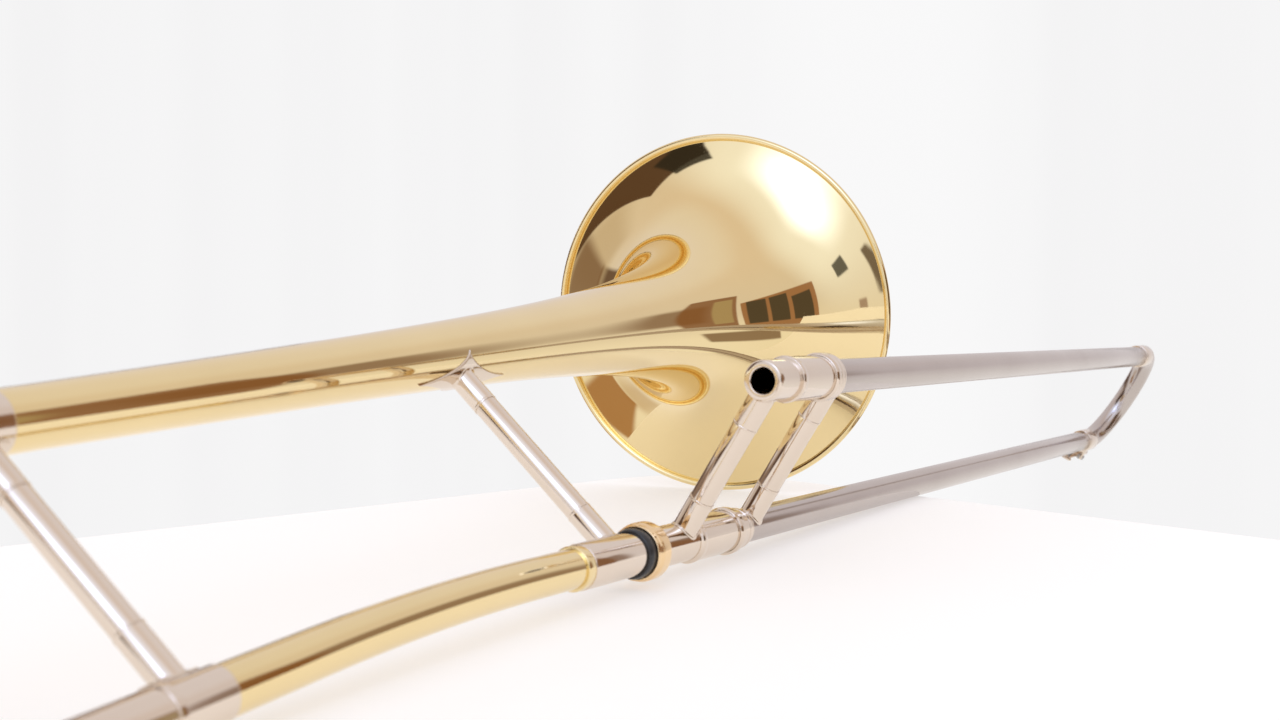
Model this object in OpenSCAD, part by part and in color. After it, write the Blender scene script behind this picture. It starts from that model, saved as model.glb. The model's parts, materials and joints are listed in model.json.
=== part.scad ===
// Straight tenor trombone with its slide closed, lying on its side, without a mouthpiece.
// +X runs along the hand slide towards its end bow and +Z is up. The origin is on the lower
// slide tube's axis, where the slide meets the bell section. All lengths are millimetres.

/* [Layout] */
// Tilt of the plane that holds the slide and the bell, from level
bell_plane_deg = 42; // [35:1:48]
// Tilt of the plane that holds both slide tubes, from level
slide_plane_deg = 122; // [115:1:128]
// Angle between the bell's axis and the slide
bell_tilt = 5.9; // [5.5:0.1:6.3]
// Distance between the two slide tubes' axes
slide_width = 83; // [80:0.5:86]
// Distance between the bell's axis and the rear of the neckpipe
tuning_width = 105.8; // [104:0.2:107]
// Station of the bell's rim along the slide
rim_x = 298; // [290:1:305]
// Distance of the rim's centre from the slide's axis
rim_offset = 150.3; // [148:0.1:153]

/* [Bell] */
// Radius of the flare at the rim
flare_r = 107; // [104:0.5:109]
// Distance over which the flare opens
flare_depth = 23.4; // [22:0.2:25]
// Power of the flare's curve
flare_power = 0.75; // [0.74:0.01:0.76]
// Wall of the bell
bell_wall = 0.6; // [0.5:0.05:0.7]
// Distance from the rim to the end of the flared stem
stem_len = 532; // [530:1:535]
// Radius of the rolled bead on the rim
bead_r = 1.8; // [1.7:0.1:2]

/* [Neck and tuning slide] */
// Outside radius of the neckpipe
neck_r = 7.75; // [7.7:0.05:7.8]
// Half the length of the neckpipe's bend
bend_half = 65; // [55:1:75]
// Distance from the rim to the front of the tuning sleeves
sleeve_front = 543; // [542:1:545]
// Length of the tuning sleeves
sleeve_len = 79; // [75:1:85]
// How far the tuning slide is pulled out at rest
tuning_pull = 6; // [4:0.5:8]
// Distance from the rim to the rear brace
rear_brace_back = 554; // [552:1:560]

/* [Joint] */
// Outside radius of the nickel socket
socket_r = 9.05; // [9:0.05:9.2]
// Length of the socket behind the joint
socket_len = 38; // [36:1:41]
// Outside radius of the lock nut
nut_r = 12.2; // [12:0.05:12.8]
// Station of the lock nut's rear lip
nut_rear = 5.5; // [5.3:0.1:5.8]
// Station of the lock nut's front face
nut_front = 18.2; // [17:0.1:19]
// Station of the front brace between socket and bell
front_brace_x = -7.5; // [-12:0.5:-6]

/* [Inner slide] */
// Outside radius of the inner slide tubes
inner_tube_r = 7.25; // [7.2:0.05:7.25]
// Station of the mouthpiece receiver's mouth
mouth_x = 32; // [31:0.5:34]
// Radius of the receiver's mouth
mouth_r = 6.2; // [6.1:0.05:6.35]
// Outside radius of the receiver and of the barrels' rear necks
receiver_r = 8.6; // [8.5:0.05:8.65]
// Outside radius of the cork barrels
barrel_r = 9.65; // [9.5:0.05:9.8]
// Station of the step between the upper barrel and its neck
barrel_step = 52.5; // [52:0.5:54]
// Station of the step between the lower barrel and its neck
lower_step = 47.5; // [47.5:0.5:50]
// Station of the upper barrel's front end
barrel_end = 90; // [89:0.5:91]
// Station of the lower barrel's front end
lower_end = 86.5; // [86:0.5:87]
// Station of the inner brace
inner_brace_x = 41; // [40:0.5:41]
// Station of the inner tubes' far end
inner_end = 752; // [745:1:754]

/* [Outer slide] */
// Outside radius of the outer slide tubes
outer_tube_r = 7.8; // [7.75:0.05:7.85]
// Bore radius of the outer slide tubes
outer_bore_r = 7.45; // [7.45:0.01:7.48]
// Station of the outer brace
outer_brace_x = 107; // [105:0.5:110]
// Station where the end bow starts
bow_x = 760; // [758:1:765]
// Length of the end bow's ferrules
ferrule_len = 23; // [22:1:26]
// Angle round the end bow at which the water key sits
key_angle = 12; // [11:0.5:13]

/* [Braces] */
// Radius of the front brace tube
brace_r = 5.1; // [5:0.05:5.2]
// Radius of the slide's brace tubes
slide_brace_r = 5.35; // [5.2:0.05:5.4]
// Radius of the rear brace tube
rear_brace_r = 4.7; // [4.5:0.05:4.8]
// Reach of a slide brace's socket from the slide tube's axis
socket_reach = 23; // [20:0.5:26]

/* [Hidden] */
$fn = 96;
brass = [0.87, 0.74, 0.47];
nickel = [0.77, 0.74, 0.71];
black = [0.08, 0.08, 0.09];
cork = [0.72, 0.55, 0.38];
steel = [0.62, 0.62, 0.64];

fit = 0.02;            // gap left between soldered pieces
run = 0.05;            // radial clearance of a running fit
saddle = 1.2;          // thickness of a brace's saddle

bead_x = 0.5 - bead_r;
bead_ring_r = flare_r - 0.6;
tail_r = flare(stem_len);
tail_back = sleeve_front + 10;

leg_gap = 7;           // distance from the pipe's end to a tuning leg
leg_front = tail_back + leg_gap;
tail_leg_r = 9.45;
neck_leg_r = 7.4;
sleeve_rear = sleeve_front + sleeve_len;
sleeve_wall = 0.9;
tuning_ferrule = sleeve_rear + tuning_pull;
tuning_ferrule_len = 14;
ferrule_wall = 1.2;
bow_back = tuning_ferrule + tuning_ferrule_len;

bend_r = bend_half / tan(bell_tilt / 2);
bend_back = (rim_offset - tuning_width * cos(bell_tilt)) / sin(bell_tilt);
bend_x = rim_x - bend_back * cos(bell_tilt) + tuning_width * sin(bell_tilt);

taper_rear = -22;      // rear end of the slide's taper inside the socket
thread_end = 12;       // front end of the socket
thread_r = 9.5;
collar_end = 14.5;     // front of the tenon's collar that the nut pulls on
collar_r = 9.4;

outer_start = 80.2;    // rear end of the outer slide tubes
barrel_bore_r = 8.4;
ring_start = barrel_end - 3.5;
ring_end = barrel_end + 7;
ring_r = 10.8;
lug_half = 1.5;        // half the width of the slide lock's lug
lug_top = 8.6;         // height of the lug above the tube's axis
lug_start = 89.6;

front_brace_len = rim_offset + (front_brace_x - rim_x) * tan(bell_tilt);
front_reach = 25.5;    // reach of the front brace's foot from the socket's axis
flange_reach = 31;     // reach of the flange's socket from the bell's axis
rear_reach = 27;       // reach of the rear brace's feet from their pipes' axes
brace_engagement = 9.5; // how far a brace tube stands inside its sockets
ferrule_r = 8.9;

nipple_len = 4;        // how far the nipple stands out of the bow
nipple_r = 3.2;
key_pivot_x = bow_x - 9;
key_pivot_y = -13.5;
key_hub_half = 4.7;    // half the length of the lever's hub
key_arm_half = 2;      // half the width of the lever's arms
key_post = 1.3;        // thickness of the bracket's posts
key_bolt_r = 1;

// Frames. In each plane +Y points away from the lower slide tube.

module slide_plane() {
    rotate([slide_plane_deg, 0, 0]) children();
}

module bell_plane() {
    rotate([bell_plane_deg, 0, 0]) children();
}

module bell_axis() {
    bell_plane() on_bell_axis() children();
}

module on_bell_axis() {
    translate([rim_x, rim_offset, 0]) rotate([0, 0, bell_tilt]) children();
}

module on_upper_tube() {
    translate([0, slide_width, 0]) children();
}

// Basic shapes

module turned(points) {
    rotate([0, 90, 0]) rotate_extrude() polygon([for (p = points) [p[1], p[0]]]);
}

module rod(x0, x1, r) {
    translate([x0, 0, 0]) rotate([0, 90, 0]) cylinder(r = r, h = x1 - x0);
}

module tube(x0, x1, r, bore) {
    difference() {
        rod(x0, x1, r);
        rod(x0 - 1, x1 + 1, bore);
    }
}

module rounded_ring(x0, x1, r, bore, edge) {
    arc = [0:15:90];
    turned(concat(
        [[x0, bore], [x1, bore]],
        [for (a = arc) [x1 - edge + edge * cos(a), r - edge + edge * sin(a)]],
        [for (a = arc) [x0 + edge - edge * sin(a), r - edge + edge * cos(a)]]
    ));
}

module torus(x, ring, r) {
    rotate([0, 90, 0]) rotate_extrude() translate([ring, x]) circle(r);
}

module up_y(y0, y1, r) {
    translate([0, y0, 0]) rotate([-90, 0, 0]) cylinder(r = r, h = y1 - y0);
}

// A saddle with rounded ends on a tube along X, and the socket that rises from it along +Y
module brace_foot(tube_r, r, reach, arm) {
    lip = 1;
    half_wide = r + 0.8;
    socket = r + 0.35;
    difference() {
        union() {
            intersection() {
                rod(-arm, arm, tube_r + saddle);
                rotate([-90, 0, 0]) linear_extrude(height = tube_r + 2 * saddle) {
                    square([2 * (arm - half_wide), 2 * half_wide], center = true);
                    translate([arm - half_wide, 0]) circle(half_wide);
                    translate([half_wide - arm, 0]) circle(half_wide);
                }
            }
            up_y(0, reach, socket);
            up_y(reach - lip, reach, socket + 0.3);
        }
        rod(-arm - 1, arm + 1, tube_r + fit);
        up_y(reach - brace_engagement - 0.5, reach + 1, r + fit);
    }
}

// A hollow brace between two sockets, whose mouths are at the two reaches
module brace_tube(from_reach, to_reach, r) {
    start = from_reach - brace_engagement;
    end = to_reach + brace_engagement;
    difference() {
        up_y(start, end, r);
        up_y(start - 1, end + 1, r - 0.8);
    }
}

// Bell

function flare(d) = flare_r * pow(flare_depth / (d + flare_depth), flare_power);
function flare_angle(d) = atan(flare_power * flare(d) / (d + flare_depth));
function flare_station(u) = flare_depth * (pow(1 + stem_len / flare_depth, u) - 1);
function flare_offset(d, t) = [
    -d - t * sin(flare_angle(d)),
    flare(d) + t * cos(flare_angle(d))
];

module bell() {
    steps = 44;
    stations = [for (i = [0:steps]) flare_station(i / steps)];
    outside = [for (d = stations) flare_offset(d, 0)];
    inside = [for (i = [steps:-1:0]) flare_offset(stations[i], -bell_wall)];
    tail = [[-tail_back, tail_r], [-tail_back, tail_r - bell_wall]];
    slit = bead_r * 0.5;
    color(brass) bell_axis() difference() {
        union() {
            turned(concat(outside, tail, inside));
            torus(bead_x, bead_ring_r, bead_r);
        }
        torus(bead_x, bead_ring_r, bead_r - 0.5);
        rotate([0, 90, 0]) rotate_extrude()
            translate([bead_ring_r - bead_r - 0.1, bead_x - bead_r]) square([slit, slit]);
    }
}

module bell_rim_wire() {
    color(steel) bell_axis() torus(bead_x, bead_ring_r, bead_r - 0.6);
}

// Tuning sleeves, neckpipe and socket

module tuning_sleeve(pipe_r, leg_r) {
    r = leg_r + sleeve_wall;
    bead = rear_brace_back + 9.5;
    tube(-tail_back, -sleeve_front, r, pipe_r + fit);
    tube(-sleeve_rear, -tail_back, r, leg_r + run);
    rounded_ring(-sleeve_rear, -sleeve_rear + 4, r + 0.9, r, 0.8);
    rounded_ring(-bead - 3, -bead, r + 0.7, r, 0.65);
}

module tail_sleeve() {
    color(nickel) bell_axis() tuning_sleeve(tail_r, tail_leg_r);
}

module neck_sleeve() {
    color(nickel) bell_axis() translate([0, -tuning_width, 0])
        tuning_sleeve(neck_r, neck_leg_r);
}

// Two straight stretches and the slow bend between them. Short rings inside the wall join them.
module neckpipe() {
    start = bend_x + bend_half;
    bore = neck_r - 0.5;
    joined = 0.5;
    color(brass) bell_plane() {
        tube(start, -socket_len + 9, neck_r, bore);
        tube(start - joined, start + joined, neck_r - 0.15, bore + 0.15);
        translate([start, -bend_r, 0]) rotate_extrude(angle = bell_tilt, start = 90)
            translate([bend_r, 0]) difference() {
                circle(neck_r);
                circle(bore);
            }
        on_bell_axis() translate([0, -tuning_width, 0]) {
            end = -bend_back - bend_half;
            tube(-tail_back, end, neck_r, bore);
            tube(end - joined, end + joined, neck_r - 0.15, bore + 0.15);
        }
    }
}

module neck_ferrule() {
    length = 5;
    rear = -socket_len - length;
    color(brass) rounded_ring(rear, -socket_len - fit, socket_r - 0.15, neck_r + fit, 1.1);
}

module slide_socket() {
    thread_start = nut_rear + 1.5;
    color(nickel) turned([
        [-socket_len, neck_r + fit], [-socket_len, socket_r], [thread_start, socket_r],
        [thread_start, thread_r], [thread_end, thread_r], [thread_end, taper_r(thread_end)],
        [taper_rear, taper_r(taper_rear)], [-socket_len + 9.5, taper_r(taper_rear)],
        [-socket_len + 9.5, neck_r + fit]
    ]);
}

// Radius of the socket's female taper at station x
function taper_r(x) = 6.7 + 0.012 * (x - taper_rear);

module cushion_ring() {
    color(black) rounded_ring(0.8, nut_rear + 1.4, 10.4, socket_r + fit, 1);
}

// Bell braces

module front_brace() {
    color(nickel) bell_plane() translate([front_brace_x, 0, 0])
        brace_tube(front_reach, front_brace_len - flange_reach, brace_r);
}

module front_brace_foot() {
    color(nickel) bell_plane() translate([front_brace_x, 0, 0])
        brace_foot(socket_r, brace_r, front_reach, 7.5);
}

// Outline with four points and hollow sides, half as long and half as wide as given
module diamond(long, wide) {
    hollow = 2.7;
    polygon([for (a = [0:10:350]) [
        long * sign(cos(a)) * pow(abs(cos(a)), hollow),
        wide * sign(sin(a)) * pow(abs(sin(a)), hollow)
    ]]);
}

module front_brace_flange() {
    mouth = front_brace_len - flange_reach;
    socket = brace_r + 0.35;
    half_length = 32;
    half_width = 12;
    stem_back = rim_x - front_brace_x;
    stations = [for (d = [stem_back - 40:10:stem_back + 50]) d];
    last = len(stations) - 1;
    seat = [for (d = stations) flare_offset(d, run)];
    skin = [for (i = [last:-1:0]) flare_offset(stations[i], 0.9)];
    core = [[-stations[last], 0], [-stations[0], 0]];
    color(nickel) bell_plane() difference() {
        union() {
            intersection() {
                on_bell_axis() turned(concat(seat, skin));
                translate([front_brace_x, front_brace_len, 0]) rotate([90, 0, 0])
                    linear_extrude(height = 30) diamond(half_length, half_width);
            }
            translate([front_brace_x, 0, 0]) {
                up_y(mouth, front_brace_len - 10, socket);
                up_y(mouth, mouth + 1, socket + 0.3);
            }
        }
        on_bell_axis() turned(concat(seat, core));
        translate([front_brace_x, 0, 0])
            up_y(mouth - 1, mouth + brace_engagement + 0.5, brace_r + fit);
    }
}

module rear_brace() {
    color(nickel) bell_axis() translate([-rear_brace_back, -tuning_width, 0])
        brace_tube(rear_reach, tuning_width - rear_reach, rear_brace_r);
}

module rear_brace_feet() {
    color(nickel) bell_axis() translate([-rear_brace_back, -tuning_width, 0]) {
        brace_foot(neck_leg_r + sleeve_wall, rear_brace_r, rear_reach, 8.5);
        translate([0, tuning_width, 0]) rotate([180, 0, 0])
            brace_foot(tail_leg_r + sleeve_wall, rear_brace_r, rear_reach, 8.5);
    }
}

// Tuning slide

// A half-circle bend in the XY plane round the origin, bulging towards -X, whose tube grows
// from r0 at -Y to r1 at +Y
module tapered_bow(ring, r0, r1, wall) {
    n = 20;
    m = 24;
    function at(i, j, r) = let (a = 180 * i / n, b = 360 * j / m, s = ring + r * cos(b))
        [-s * sin(a), -s * cos(a), r * sin(b)];
    function grown(i) = r0 + (r1 - r0) * i / n;
    points = [
        for (skin = [0, wall]) for (i = [0:n]) for (j = [0:m - 1]) at(i, j, grown(i) - skin)
    ];
    function id(skin, i, j) = (skin * (n + 1) + i) * m + j % m;
    function quad(a, b, c, d) = [[a, b, c], [a, c, d]];
    walls = [for (i = [0:n - 1]) for (j = [0:m - 1]) each concat(
        quad(id(0, i, j), id(0, i, j + 1), id(0, i + 1, j + 1), id(0, i + 1, j)),
        quad(id(1, i, j), id(1, i + 1, j), id(1, i + 1, j + 1), id(1, i, j + 1))
    )];
    ends = [for (j = [0:m - 1]) each concat(
        quad(id(0, 0, j), id(1, 0, j), id(1, 0, j + 1), id(0, 0, j + 1)),
        quad(id(0, n, j), id(0, n, j + 1), id(1, n, j + 1), id(1, n, j))
    )];
    polyhedron(points, concat(walls, ends));
}

module tuning_bow() {
    color(brass) bell_axis() translate([-bow_back, -tuning_width / 2, 0])
        tapered_bow(tuning_width / 2, neck_leg_r + 0.5, tail_leg_r + 0.5, 0.6);
}

module tuning_legs() {
    color(nickel) bell_axis() {
        tube(-bow_back + 1, -leg_front, tail_leg_r, tail_leg_r - 0.45);
        translate([0, -tuning_width, 0])
            tube(-bow_back + 1, -leg_front, neck_leg_r, neck_leg_r - 0.45);
    }
}

module tuning_ferrule(leg_r) {
    rounded_ring(-bow_back, -tuning_ferrule, leg_r + ferrule_wall, leg_r + fit, 0.8);
}

module tuning_ferrules() {
    color(nickel) bell_axis() {
        tuning_ferrule(tail_leg_r);
        translate([0, -tuning_width, 0]) tuning_ferrule(neck_leg_r);
    }
}

module tuning_brace() {
    color(nickel) bell_axis() translate([-bow_back + tuning_ferrule_len / 2, -tuning_width, 0])
        difference() {
            union() {
                up_y(0, tuning_width, 3.2);
                up_y(0, neck_leg_r + 6, 4.3);
                up_y(tuning_width - tail_leg_r - 6, tuning_width, 4.3);
            }
            rod(-10, 10, neck_leg_r + ferrule_wall + fit);
            translate([0, tuning_width, 0]) rod(-10, 10, tail_leg_r + ferrule_wall + fit);
        }
}

// Lock nut

module lock_nut() {
    crown = [for (a = [0:12:180]) [
        (nut_front + nut_rear) / 2 - 1 - 4.2 * cos(a), nut_r - 1 + 1 * sin(a)
    ]];
    color(brass) turned(concat(
        [[nut_rear, 10.6], [nut_rear, nut_r - 1.4]],
        crown,
        [[nut_front - 1, nut_r - 1.7], [nut_front, nut_r - 2.4], [nut_front, receiver_r + 0.1]],
        [[collar_end + 0.1, receiver_r + 0.1], [collar_end + 0.1, thread_r + 0.1]],
        [[nut_rear + 1.6, thread_r + 0.1], [nut_rear + 1.6, 10.6]]
    ));
}

// Inner slide

module slide_tenon() {
    bore = 6;
    stub = inner_tube_r - 0.02;
    color(nickel) turned([
        [taper_rear + 1, bore], [taper_rear + 1, taper_r(taper_rear + 1) - run],
        [thread_end + 0.1, taper_r(thread_end + 0.1) - run], [thread_end + 0.1, collar_r],
        [collar_end, collar_r], [collar_end, stub], [40, stub], [40, bore]
    ]);
}

module mouthpiece_receiver() {
    socket_end = 62;
    plain = 4;             // straight part of the mouth, before the shank's taper
    throat = 5.5;
    color(nickel) slide_plane() on_upper_tube() turned(concat(
        [[mouth_x + 0.2, mouth_r]],
        [[mouth_x, mouth_r + 0.3], [mouth_x, receiver_r - 0.7], [mouth_x + 0.3, receiver_r - 0.2]],
        [[mouth_x + 1, receiver_r], [barrel_step + 0.5, receiver_r], [barrel_step + 0.5, 7.3]],
        [[socket_end, 7.3], [socket_end, throat], [mouth_x + 0.2 + plain, mouth_r]]
    ));
}

// A cork barrel: the neck's stepped ridge, the barrel and the hollow that takes the outer tube
module barrel(step, end, neck_bore) {
    floor_x = step + 5;
    difference() {
        union() {
            rounded_ring(step, step + 4, barrel_r + 0.25, neck_bore, 0.8);
            rod(step + 2, end, barrel_r);
        }
        rod(step - 1, floor_x + 1, neck_bore);
        rod(floor_x, end + 1, barrel_bore_r);
    }
}

module upper_barrel() {
    color(nickel) slide_plane() on_upper_tube() difference() {
        barrel(barrel_step, barrel_end, 7.32);
        rod(barrel_step - 1, barrel_step + 0.52, receiver_r + 0.5);
    }
}

module lower_barrel() {
    color(nickel) {
        barrel(lower_step, lower_end, inner_tube_r + fit);
        tube(collar_end + fit, lower_step + 1, receiver_r, inner_tube_r + fit);
    }
}

// The grooved ring on the upper barrel's front end
module upper_end_ring() {
    grooves = [ring_start + 3.4, ring_start + 7];
    color(nickel) slide_plane() on_upper_tube() difference() {
        rounded_ring(ring_start, ring_end, ring_r, barrel_bore_r + 0.1, 1.6);
        rod(ring_start - 1, barrel_end + 0.5, barrel_r + fit);
        for (x = grooves) tube(x, x + 0.5, ring_r + 1, ring_r - 0.5);
    }
}

// A stepped ring. Its wide rear turns on the barrel's end and its narrow front holds the chamber
// in which the outer slide's lug is caught once it has passed the notch.
module slide_lock_ring() {
    start = lower_end - 3.5;
    wide_end = start + 5.6;
    chamber_end = ring_end - 2.4;
    chamber_r = lug_top + 0.3;
    notch = 2 * lug_half + 1.4;
    color(nickel) slide_plane() difference() {
        union() {
            rounded_ring(start, wide_end, ring_r, outer_tube_r + 0.3, 1.2);
            rounded_ring(start + 1, ring_end, chamber_r + 0.6, outer_tube_r + 0.3, 0.5);
        }
        rod(start - 1, lower_end + 0.5, barrel_r + run);
        rod(lower_end, chamber_end, chamber_r);
        translate([lower_end, 0, -notch / 2]) cube([ring_end, chamber_r, notch]);
    }
}

module leadpipe() {
    start = 62.2;
    end = 250;
    wide = inner_tube_r - 0.35;
    color(brass) slide_plane() on_upper_tube() turned([
        [start, 5.5], [start, wide], [end, wide], [end, wide - 0.2], [start + 30, 5.6]
    ]);
}

module inner_tube(start) {
    tube(start, inner_end, inner_tube_r, inner_tube_r - 0.3);
}

module upper_inner_tube() {
    color(nickel) slide_plane() on_upper_tube() inner_tube(62.1);
}

module lower_inner_tube() {
    color(nickel) inner_tube(40.1);
}

module on_both_tubes() {
    children();
    on_upper_tube() children();
}

module stockings() {
    color(nickel) slide_plane() on_both_tubes()
        tube(inner_end - 112, inner_end, outer_bore_r - run, inner_tube_r + 0.01);
}

module barrel_corks() {
    color(cork) slide_plane() on_both_tubes()
        tube(barrel_step + 9, outer_start - 0.2, barrel_bore_r - 0.1, inner_tube_r + run);
}

module slide_brace(x) {
    color(nickel) slide_plane() translate([x, 0, 0])
        brace_tube(socket_reach, slide_width - socket_reach, slide_brace_r);
}

module slide_brace_feet(x, tube_r, arm) {
    color(nickel) slide_plane() translate([x, 0, 0]) {
        brace_foot(tube_r, slide_brace_r, socket_reach, arm);
        on_upper_tube() rotate([180, 0, 0])
            brace_foot(tube_r, slide_brace_r, socket_reach, arm);
    }
}

module inner_brace() {
    slide_brace(inner_brace_x);
}

module inner_brace_feet() {
    slide_brace_feet(inner_brace_x, receiver_r, slide_brace_r + 0.9);
}

// Outer slide

module outer_tube() {
    tube(outer_start, bow_x, outer_tube_r, outer_bore_r);
}

module upper_outer_tube() {
    color(nickel) slide_plane() on_upper_tube() outer_tube();
}

module lower_outer_tube() {
    color(nickel) outer_tube();
}

module outer_collars() {
    color(nickel) slide_plane() on_both_tubes()
        rounded_ring(ring_end + 0.8, ring_end + 2.6, outer_tube_r + 0.9, outer_tube_r + fit, 0.6);
}

module slide_lock_lug() {
    color(nickel) slide_plane() difference() {
        translate([lug_start, 0, -lug_half]) cube([2.6, lug_top, 2 * lug_half]);
        rod(lug_start - 1, lug_start + 4, outer_tube_r + fit);
    }
}

module outer_brace() {
    slide_brace(outer_brace_x);
}

module outer_brace_feet() {
    slide_brace_feet(outer_brace_x, outer_tube_r, slide_brace_r + 0.9);
}

module bow_ferrules() {
    color(nickel) slide_plane() on_both_tubes()
        rounded_ring(bow_x - ferrule_len, bow_x + 0.8, ferrule_r, outer_tube_r + fit, 0.8);
}

module bow_path(r) {
    translate([bow_x, slide_width / 2, 0])
        rotate_extrude(angle = 180, start = -90, $fn = 192)
            translate([slide_width / 2, 0]) circle(r);
}

// The nipple's place: its axis runs outwards along +X here, from the bow tube's own axis
module at_nipple() {
    translate([bow_x, slide_width / 2, 0]) rotate([0, 0, key_angle - 90])
        translate([slide_width / 2, 0, 0]) children();
}

module end_bow() {
    color(nickel) slide_plane() difference() {
        bow_path(outer_tube_r);
        bow_path(outer_tube_r - 0.5);
        at_nipple() rod(5, 12, nipple_r + fit);
    }
}

module bumper_cup() {
    apex = bow_x + slide_width / 2;
    color(nickel) slide_plane() translate([0, slide_width / 2, 0]) difference() {
        rod(apex, apex + outer_tube_r + 3, 3.8);
        translate([0, -slide_width / 2, 0]) bow_path(outer_tube_r + fit);
        rod(apex + outer_tube_r + 1, apex + outer_tube_r + 4, 3.1 + fit);
    }
}

module bumper() {
    start = bow_x + slide_width / 2 + outer_tube_r + 1;
    color(black) slide_plane() translate([0, slide_width / 2, 0])
        rounded_ring(start + fit, start + 6, 3.1, 0, 1.5);
}

// Water key

module water_key_nipple() {
    color(nickel) slide_plane() at_nipple()
        tube(outer_tube_r - 0.5, outer_tube_r + nipple_len, nipple_r, 1.6);
}

module across_key(z0, z1, r) {
    translate([key_pivot_x, key_pivot_y, z0]) cylinder(r = r, h = z1 - z0);
}

module water_key_bracket() {
    gap = 0.2;
    half = key_hub_half + gap + key_post;
    color(nickel) slide_plane() difference() {
        union() {
            intersection() {
                translate([key_pivot_x - 6, 0, 0]) rod(0, 12, ferrule_r + 0.8);
                translate([key_pivot_x - 6, -ferrule_r - 2, -half]) cube([12, 8, 2 * half]);
            }
            for (z = [-half, half - key_post]) translate([key_pivot_x, key_pivot_y, z]) {
                translate([-2.2, 0, 0]) cube([4.4, 7, key_post]);
                cylinder(r = 2.2, h = key_post);
            }
        }
        rod(key_pivot_x - 7, key_pivot_x + 7, ferrule_r + fit);
        across_key(-half - 1, half + 1, key_bolt_r + fit);
    }
}

module water_key_screw() {
    end = key_hub_half + 0.2 + key_post + 0.05;
    color(steel) slide_plane() {
        across_key(-end, end, key_bolt_r);
        across_key(end, end + 1.2, 2);
    }
}

module water_key_lever() {
    thick = 1.4;
    top = key_pivot_y - 1.8;
    touch_back = 30;
    cup_near = outer_tube_r + nipple_len + 1;
    color(nickel) slide_plane() difference() {
        union() {
            across_key(-key_hub_half, key_hub_half, 2);
            translate([key_pivot_x - touch_back, top, -key_arm_half])
                cube([touch_back + 20, thick, 2 * key_arm_half]);
            translate([key_pivot_x - touch_back, top, 0]) rotate([-90, 0, 0])
                cylinder(r = 4.6, h = thick);
            at_nipple() rod(cup_near, cup_near + 3, 4.2);
        }
        at_nipple() rod(cup_near - 1, cup_near + 1.4, 3.5 + fit);
        across_key(-key_hub_half - 1, key_hub_half + 1, key_bolt_r + run);
    }
}

module water_key_cork() {
    start = outer_tube_r + nipple_len + 0.03;
    color(cork) slide_plane() at_nipple() rod(start, start + 2.3, 3.5);
}

// The spring's coils, wound round the lever's hub on both sides of its arms
module water_key_spring() {
    wire = 0.35;
    coil = 2 + wire + 0.1;
    first = key_arm_half + wire + 0.1;
    color(steel) slide_plane() translate([key_pivot_x, key_pivot_y, 0])
        for (side = [-1, 1]) for (turn = [0:2])
            translate([0, 0, side * (first + turn * 0.75)])
                rotate_extrude() translate([coil, 0]) circle(wire);
}

bell();
bell_rim_wire();
tail_sleeve();
neck_sleeve();
neckpipe();
neck_ferrule();
slide_socket();
cushion_ring();
front_brace();
front_brace_foot();
front_brace_flange();
rear_brace();
rear_brace_feet();
tuning_bow();
tuning_legs();
tuning_ferrules();
tuning_brace();
lock_nut();
slide_tenon();
mouthpiece_receiver();
upper_barrel();
lower_barrel();
upper_end_ring();
slide_lock_ring();
leadpipe();
upper_inner_tube();
lower_inner_tube();
stockings();
barrel_corks();
inner_brace();
inner_brace_feet();
upper_outer_tube();
lower_outer_tube();
outer_collars();
slide_lock_lug();
outer_brace();
outer_brace_feet();
bow_ferrules();
end_bow();
bumper_cup();
bumper();
water_key_nipple();
water_key_bracket();
water_key_screw();
water_key_lever();
water_key_cork();
water_key_spring();
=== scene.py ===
"""Looks of a tenor trombone lying on a pale table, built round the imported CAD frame."""
import json
import math

import bmesh
import bpy
import numpy as np
from mathutils import Matrix, Vector


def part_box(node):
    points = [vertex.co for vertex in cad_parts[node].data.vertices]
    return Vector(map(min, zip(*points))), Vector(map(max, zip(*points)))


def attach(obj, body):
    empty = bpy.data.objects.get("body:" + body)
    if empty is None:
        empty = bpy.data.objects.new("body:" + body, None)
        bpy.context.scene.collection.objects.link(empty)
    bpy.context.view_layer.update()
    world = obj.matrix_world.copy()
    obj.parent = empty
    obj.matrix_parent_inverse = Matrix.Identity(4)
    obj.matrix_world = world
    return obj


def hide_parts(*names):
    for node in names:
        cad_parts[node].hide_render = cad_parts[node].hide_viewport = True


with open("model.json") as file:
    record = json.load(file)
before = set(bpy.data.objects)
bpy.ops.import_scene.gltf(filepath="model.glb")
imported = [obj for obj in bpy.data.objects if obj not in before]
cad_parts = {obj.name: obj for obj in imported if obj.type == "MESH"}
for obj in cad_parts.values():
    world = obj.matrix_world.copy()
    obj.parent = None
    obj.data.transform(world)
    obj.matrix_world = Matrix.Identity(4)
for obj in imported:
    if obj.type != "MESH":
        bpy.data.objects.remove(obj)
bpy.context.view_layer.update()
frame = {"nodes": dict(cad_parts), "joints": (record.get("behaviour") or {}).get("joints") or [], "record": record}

MM = 0.001
RECORD = frame["record"]
BODIES = RECORD["behaviour"]["bodies"]
BODY_OF = {node: body for body, nodes in BODIES.items() for node in nodes}
SLOT_OF = {part["node"]: part["material_slot"] for part in RECORD["subparts"]}
MOUNTS = {mount["name"]: mount for mount in RECORD["mounts"]}
JOINTS = {joint["name"]: joint for joint in frame["joints"]}

SHARP_EDGE = math.radians(38)


# Frames. Each is a matrix whose X runs along a tube. Lengths in a frame are millimetres.

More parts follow.
